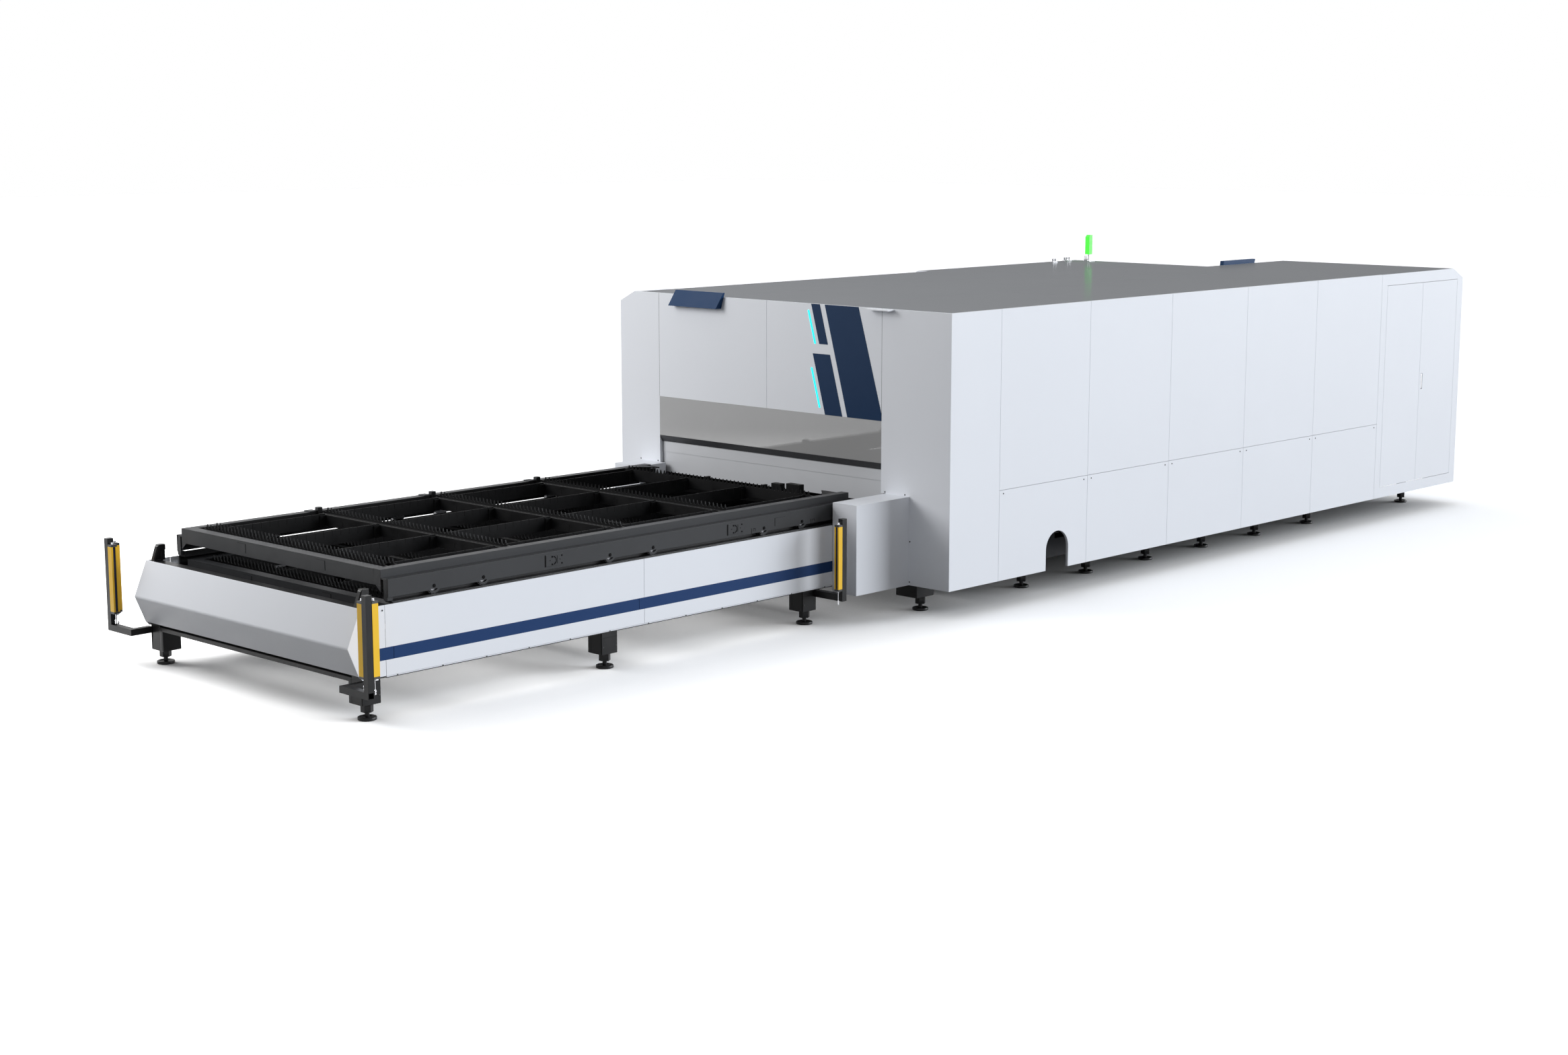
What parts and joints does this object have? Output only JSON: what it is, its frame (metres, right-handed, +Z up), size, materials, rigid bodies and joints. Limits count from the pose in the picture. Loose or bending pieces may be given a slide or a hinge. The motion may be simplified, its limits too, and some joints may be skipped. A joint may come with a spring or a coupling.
{
  "type": "fiber laser cutting machine",
  "caption": "Enclosed flat-bed sheet cutting machine with a two-level exchange table, lift door, gantry with cutting head and rear cabinet.",
  "frame": {"origin": "middle of the bounding box's bottom face, on the floor", "axes": "+X from the loading table to the rear cabinet, +Y from the near side to the operator side, +Z up"},
  "size_m": [12.1, 3.5, 2.426],
  "materials": {
    "panel_white": "satin light grey-white powder coat",
    "roof_grey": "glossy grey coat",
    "steel_black": "satin black paint",
    "pallet_black": "dark grey paint",
    "frame_grey": "dark grey paint",
    "navy": "navy paint",
    "sign_navy": "navy paint",
    "curtain_yellow": "satin yellow",
    "cap_black": "moulded black",
    "lit_cyan": "lit translucent strip",
    "lit_green": "lit translucent lens",
    "band_glass": "grey mirror-coated glass",
    "apron_grey": "flexible light grey curtain",
    "bright_metal": "bright plated",
    "bright_steel": "ground steel",
    "wheel_steel": "dark steel",
    "motor_grey": "grey paint",
    "head_aluminium": "machined",
    "window_glass": "tinted laser-safe pane",
    "stop_red": "gloss red"
  },
  "bodies": {
    "machine": {"table_frame": "steel_black", "table_feet": "steel_black", "table_hood": "panel_white", "table_side_panels": "panel_white", "table_stripes": "navy", "pallet_rails": "steel_black", "pallet_hooks": "steel_black", "curtain_posts": "steel_black", "curtain_bars": "curtain_yellow", "curtain_caps": "cap_black", "exchange_motor": "motor_grey", "transition_covers": "panel_white", "enclosure_frame": "frame_grey", "enclosure_feet": "steel_black", "portal_shell": "panel_white", "fascia_panels": "panel_white", "fascia_inlays": "navy", "light_strips": "lit_cyan", "sign_boxes": "sign_navy", "glass_band": "band_glass", "side_panels": "panel_white", "roof_panels": "roof_grey", "far_panels": "panel_white", "rear_cabinet": "panel_white", "beacon_lamp": "lit_green", "roof_glands": "bright_metal", "machine_bed": "frame_grey", "laser_source": "motor_grey", "electrics_rack": "motor_grey", "console": "cap_black"},
    "upper_pallet": {"upper_frame": "pallet_black", "upper_dividers": "pallet_black", "upper_slats": "pallet_black"},
    "lower_pallet": {"lower_frame": "pallet_black", "lower_dividers": "pallet_black", "lower_slats": "pallet_black"},
    "upper_wheels_1": {"upper_wheels_1": "wheel_steel"},
    "upper_wheels_2": {"upper_wheels_2": "wheel_steel"},
    "upper_wheels_3": {"upper_wheels_3": "wheel_steel"},
    "upper_wheels_4": {"upper_wheels_4": "wheel_steel"},
    "upper_wheels_5": {"upper_wheels_5": "wheel_steel"},
    "upper_wheels_6": {"upper_wheels_6": "wheel_steel"},
    "lower_wheels_1": {"lower_wheels_1": "wheel_steel"},
    "lower_wheels_2": {"lower_wheels_2": "wheel_steel"},
    "lower_wheels_3": {"lower_wheels_3": "wheel_steel"},
    "lower_wheels_4": {"lower_wheels_4": "wheel_steel"},
    "lower_wheels_5": {"lower_wheels_5": "wheel_steel"},
    "lower_wheels_6": {"lower_wheels_6": "wheel_steel"},
    "exchange_shaft": {"exchange_shaft": "bright_steel"},
    "lift_door": {"lift_door": "panel_white", "door_apron": "apron_grey"},
    "door_left": {"cabinet_door_left": "panel_white"},
    "door_right": {"cabinet_door_right": "panel_white"},
    "handle": {"cabinet_handle": "bright_metal"},
    "gantry": {"gantry": "head_aluminium"},
    "carriage": {"carriage": "head_aluminium"},
    "cutting_head": {"cutting_head": "head_aluminium"},
    "access_door": {"access_door": "panel_white", "access_window": "window_glass"},
    "stop_button": {"stop_button": "stop_red"}
  },
  "joints": [
    {"name": "upper_pallet_travel", "type": "slide", "parent": "machine", "child": "upper_pallet", "axis": [1, 0, 0], "range_m": [0, 5.2], "deforming": ["door_apron"]},
    {"name": "lower_pallet_travel", "type": "slide", "parent": "machine", "child": "lower_pallet", "axis": [1, 0, 0], "range_m": [0, 5.2]},
    {"name": "upper_wheels_1_roll", "type": "hinge", "parent": "upper_pallet", "child": "upper_wheels_1", "pos_m": [-5.3382, 0, 0.745], "axis": [0, 1, 0], "range_deg": [0, 5960]},
    {"name": "upper_wheels_2_roll", "type": "hinge", "parent": "upper_pallet", "child": "upper_wheels_2", "pos_m": [-4.9572, 0, 0.745], "axis": [0, 1, 0], "range_deg": [0, 5960]},
    {"name": "upper_wheels_3_roll", "type": "hinge", "parent": "upper_pallet", "child": "upper_wheels_3", "pos_m": [-3.9123, 0, 0.745], "axis": [0, 1, 0], "range_deg": [0, 5960]},
    {"name": "upper_wheels_4_roll", "type": "hinge", "parent": "upper_pallet", "child": "upper_wheels_4", "pos_m": [-3.5313, 0, 0.745], "axis": [0, 1, 0], "range_deg": [0, 5960]},
    {"name": "upper_wheels_5_roll", "type": "hinge", "parent": "upper_pallet", "child": "upper_wheels_5", "pos_m": [-2.4885, 0, 0.745], "axis": [0, 1, 0], "range_deg": [0, 5960]},
    {"name": "upper_wheels_6_roll", "type": "hinge", "parent": "upper_pallet", "child": "upper_wheels_6", "pos_m": [-2.1075, 0, 0.745], "axis": [0, 1, 0], "range_deg": [0, 5960]},
    {"name": "lower_wheels_1_roll", "type": "hinge", "parent": "lower_pallet", "child": "lower_wheels_1", "pos_m": [-5.3012, 0, 0.534], "axis": [0, 1, 0], "range_deg": [0, 5960]},
    {"name": "lower_wheels_2_roll", "type": "hinge", "parent": "lower_pallet", "child": "lower_wheels_2", "pos_m": [-4.9202, 0, 0.534], "axis": [0, 1, 0], "range_deg": [0, 5960]},
    {"name": "lower_wheels_3_roll", "type": "hinge", "parent": "lower_pallet", "child": "lower_wheels_3", "pos_m": [-3.8753, 0, 0.534], "axis": [0, 1, 0], "range_deg": [0, 5960]},
    {"name": "lower_wheels_4_roll", "type": "hinge", "parent": "lower_pallet", "child": "lower_wheels_4", "pos_m": [-3.4943, 0, 0.534], "axis": [0, 1, 0], "range_deg": [0, 5960]},
    {"name": "lower_wheels_5_roll", "type": "hinge", "parent": "lower_pallet", "child": "lower_wheels_5", "pos_m": [-2.4515, 0, 0.534], "axis": [0, 1, 0], "range_deg": [0, 5960]},
    {"name": "lower_wheels_6_roll", "type": "hinge", "parent": "lower_pallet", "child": "lower_wheels_6", "pos_m": [-2.0705, 0, 0.534], "axis": [0, 1, 0], "range_deg": [0, 5960]},
    {"name": "exchange_shaft_turn", "type": "hinge", "parent": "machine", "child": "exchange_shaft", "pos_m": [-5.79, 0, 0.43], "axis": [0, 1, 0], "continuous": true},
    {"name": "lift_door_travel", "type": "slide", "parent": "machine", "child": "lift_door", "axis": [0, 0, 1], "range_m": [0, 0.32]},
    {"name": "door_left_swing", "type": "hinge", "parent": "machine", "child": "door_left", "pos_m": [4.7065, -1.75, 1.1875], "axis": [0, 0, -1], "range_deg": [0, 110]},
    {"name": "door_right_swing", "type": "hinge", "parent": "machine", "child": "door_right", "pos_m": [5.9485, -1.75, 1.1875], "axis": [0, 0, 1], "range_deg": [0, 110]},
    {"name": "handle_lift", "type": "hinge", "parent": "door_right", "child": "handle", "pos_m": [5.3715, -1.7435, 1.132], "axis": [1, 0, 0], "range_deg": [0, 70]},
    {"name": "gantry_travel", "type": "slide", "parent": "machine", "child": "gantry", "axis": [1, 0, 0], "range_m": [-4.2, 0]},
    {"name": "carriage_travel", "type": "slide", "parent": "gantry", "child": "carriage", "axis": [0, 1, 0], "range_m": [-1, 1]},
    {"name": "head_lift", "type": "slide", "parent": "carriage", "child": "cutting_head", "axis": [0, 0, 1], "range_m": [-0.29, 0]},
    {"name": "access_door_slide", "type": "slide", "parent": "machine", "child": "access_door", "axis": [1, 0, 0], "range_m": [0, 0.85]},
    {"name": "stop_button_press", "type": "slide", "parent": "machine", "child": "stop_button", "axis": [0, -1, 0], "range_m": [0, 0.006], "stiffness_N_per_m": 1500, "springref_m": -0.004}
  ],
  "couplings": [
    {"joint": "upper_wheels_1_roll", "follows": "upper_pallet_travel", "rad_per_m": 20},
    {"joint": "upper_wheels_2_roll", "follows": "upper_pallet_travel", "rad_per_m": 20},
    {"joint": "upper_wheels_3_roll", "follows": "upper_pallet_travel", "rad_per_m": 20},
    {"joint": "upper_wheels_4_roll", "follows": "upper_pallet_travel", "rad_per_m": 20},
    {"joint": "upper_wheels_5_roll", "follows": "upper_pallet_travel", "rad_per_m": 20},
    {"joint": "upper_wheels_6_roll", "follows": "upper_pallet_travel", "rad_per_m": 20},
    {"joint": "lower_wheels_1_roll", "follows": "lower_pallet_travel", "rad_per_m": 20},
    {"joint": "lower_wheels_2_roll", "follows": "lower_pallet_travel", "rad_per_m": 20},
    {"joint": "lower_wheels_3_roll", "follows": "lower_pallet_travel", "rad_per_m": 20},
    {"joint": "lower_wheels_4_roll", "follows": "lower_pallet_travel", "rad_per_m": 20},
    {"joint": "lower_wheels_5_roll", "follows": "lower_pallet_travel", "rad_per_m": 20},
    {"joint": "lower_wheels_6_roll", "follows": "lower_pallet_travel", "rad_per_m": 20}
  ]
}
